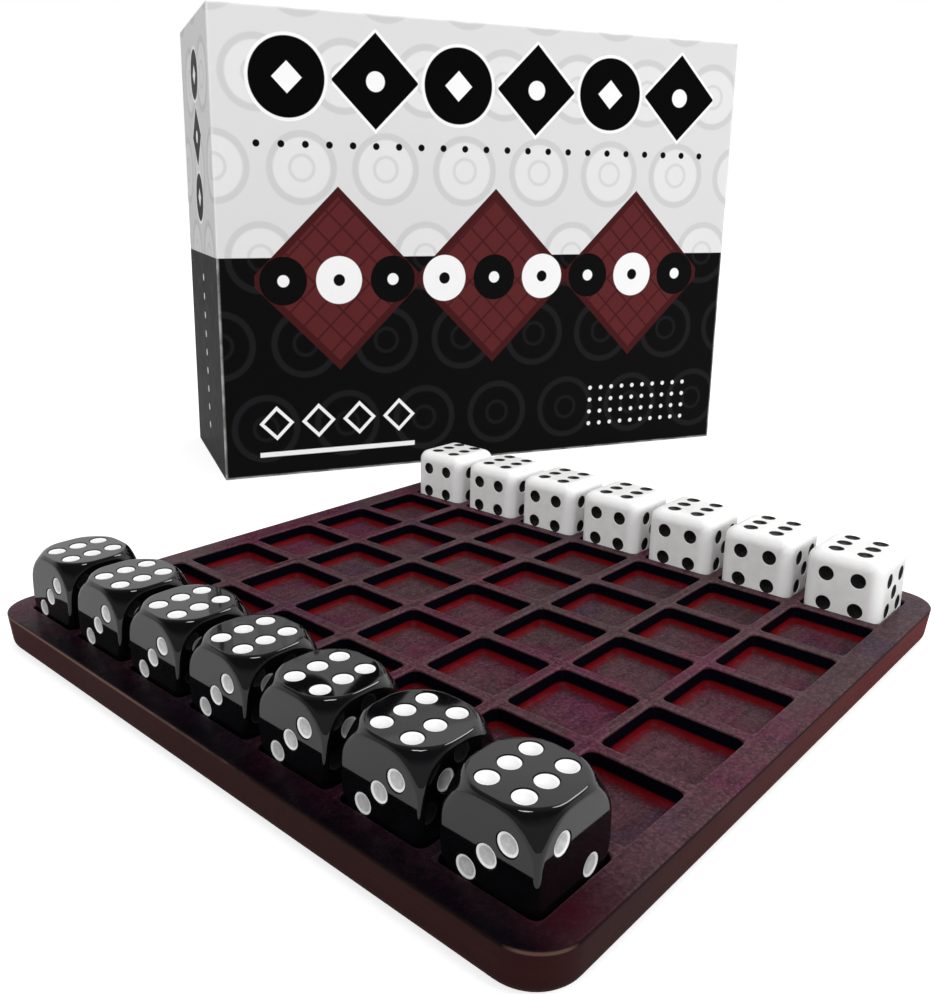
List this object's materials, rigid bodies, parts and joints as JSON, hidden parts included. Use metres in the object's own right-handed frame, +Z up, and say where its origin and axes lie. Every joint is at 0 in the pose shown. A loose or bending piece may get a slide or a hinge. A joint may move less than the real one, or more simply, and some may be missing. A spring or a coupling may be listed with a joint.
{
  "type": "dice battle game",
  "caption": "Square wooden game board with a grid of sunk wells, rows of black and of white dice along opposite sides, and the telescoping carton it comes in, standing behind.",
  "frame": {"origin": "centre of the board's underside, on the table", "axes": "+Z up from the table, +X from the row of black dice to the row of white dice, +Y along each row, towards the end of the board that lies nearer the carton's left edge"},
  "size_m": [0.4642, 0.4047, 0.227],
  "materials": {
    "board_wood": "satin",
    "black_dice": "gloss",
    "white_paint": "gloss",
    "white_dice": "satin",
    "black_paint": "satin",
    "lid_card": "satin print",
    "tray_card": "matt",
    "insert_card": "matt",
    "sheet_paper": "matt"
  },
  "bodies": {
    "board": {"board": "board_wood"},
    "die_black_1": {"die_black_1": "black_dice", "die_black_1_pips": "white_paint"},
    "die_black_2": {"die_black_2": "black_dice", "die_black_2_pips": "white_paint"},
    "die_black_3": {"die_black_3": "black_dice", "die_black_3_pips": "white_paint"},
    "die_black_4": {"die_black_4": "black_dice", "die_black_4_pips": "white_paint"},
    "die_black_5": {"die_black_5": "black_dice", "die_black_5_pips": "white_paint"},
    "die_black_6": {"die_black_6": "black_dice", "die_black_6_pips": "white_paint"},
    "die_black_7": {"die_black_7": "black_dice", "die_black_7_pips": "white_paint"},
    "die_white_1": {"die_white_1": "white_dice", "die_white_1_pips": "black_paint"},
    "die_white_2": {"die_white_2": "white_dice", "die_white_2_pips": "black_paint"},
    "die_white_3": {"die_white_3": "white_dice", "die_white_3_pips": "black_paint"},
    "die_white_4": {"die_white_4": "white_dice", "die_white_4_pips": "black_paint"},
    "die_white_5": {"die_white_5": "white_dice", "die_white_5_pips": "black_paint"},
    "die_white_6": {"die_white_6": "white_dice", "die_white_6_pips": "black_paint"},
    "die_white_7": {"die_white_7": "white_dice", "die_white_7_pips": "black_paint"},
    "box_lid": {"box_lid": "lid_card"},
    "box_base": {"box_base": "tray_card", "box_insert": "insert_card", "rules_sheet": "sheet_paper"}
  },
  "joints": [
    {"name": "die_black_1_lift", "type": "slide", "parent": "board", "child": "die_black_1", "axis": [0, 0, 1], "range_m": [0, 0.04]},
    {"name": "die_black_2_lift", "type": "slide", "parent": "board", "child": "die_black_2", "axis": [0, 0, 1], "range_m": [0, 0.04]},
    {"name": "die_black_3_lift", "type": "slide", "parent": "board", "child": "die_black_3", "axis": [0, 0, 1], "range_m": [0, 0.04]},
    {"name": "die_black_4_lift", "type": "slide", "parent": "board", "child": "die_black_4", "axis": [0, 0, 1], "range_m": [0, 0.04]},
    {"name": "die_black_5_lift", "type": "slide", "parent": "board", "child": "die_black_5", "axis": [0, 0, 1], "range_m": [0, 0.04]},
    {"name": "die_black_6_lift", "type": "slide", "parent": "board", "child": "die_black_6", "axis": [0, 0, 1], "range_m": [0, 0.04]},
    {"name": "die_black_7_lift", "type": "slide", "parent": "board", "child": "die_black_7", "axis": [0, 0, 1], "range_m": [0, 0.04]},
    {"name": "die_white_1_lift", "type": "slide", "parent": "board", "child": "die_white_1", "axis": [0, 0, 1], "range_m": [0, 0.04]},
    {"name": "die_white_2_lift", "type": "slide", "parent": "board", "child": "die_white_2", "axis": [0, 0, 1], "range_m": [0, 0.04]},
    {"name": "die_white_3_lift", "type": "slide", "parent": "board", "child": "die_white_3", "axis": [0, 0, 1], "range_m": [0, 0.04]},
    {"name": "die_white_4_lift", "type": "slide", "parent": "board", "child": "die_white_4", "axis": [0, 0, 1], "range_m": [0, 0.04]},
    {"name": "die_white_5_lift", "type": "slide", "parent": "board", "child": "die_white_5", "axis": [0, 0, 1], "range_m": [0, 0.04]},
    {"name": "die_white_6_lift", "type": "slide", "parent": "board", "child": "die_white_6", "axis": [0, 0, 1], "range_m": [0, 0.04]},
    {"name": "die_white_7_lift", "type": "slide", "parent": "board", "child": "die_white_7", "axis": [0, 0, 1], "range_m": [0, 0.04]},
    {"name": "box_lift", "type": "slide", "parent": "board", "child": "box_lid", "axis": [0, 0, 1], "range_m": [0, 0.15]},
    {"name": "box_base_pull", "type": "slide", "parent": "box_lid", "child": "box_base", "axis": [0.4384, 0.8988, 0], "range_m": [0, 0.11]}
  ]
}
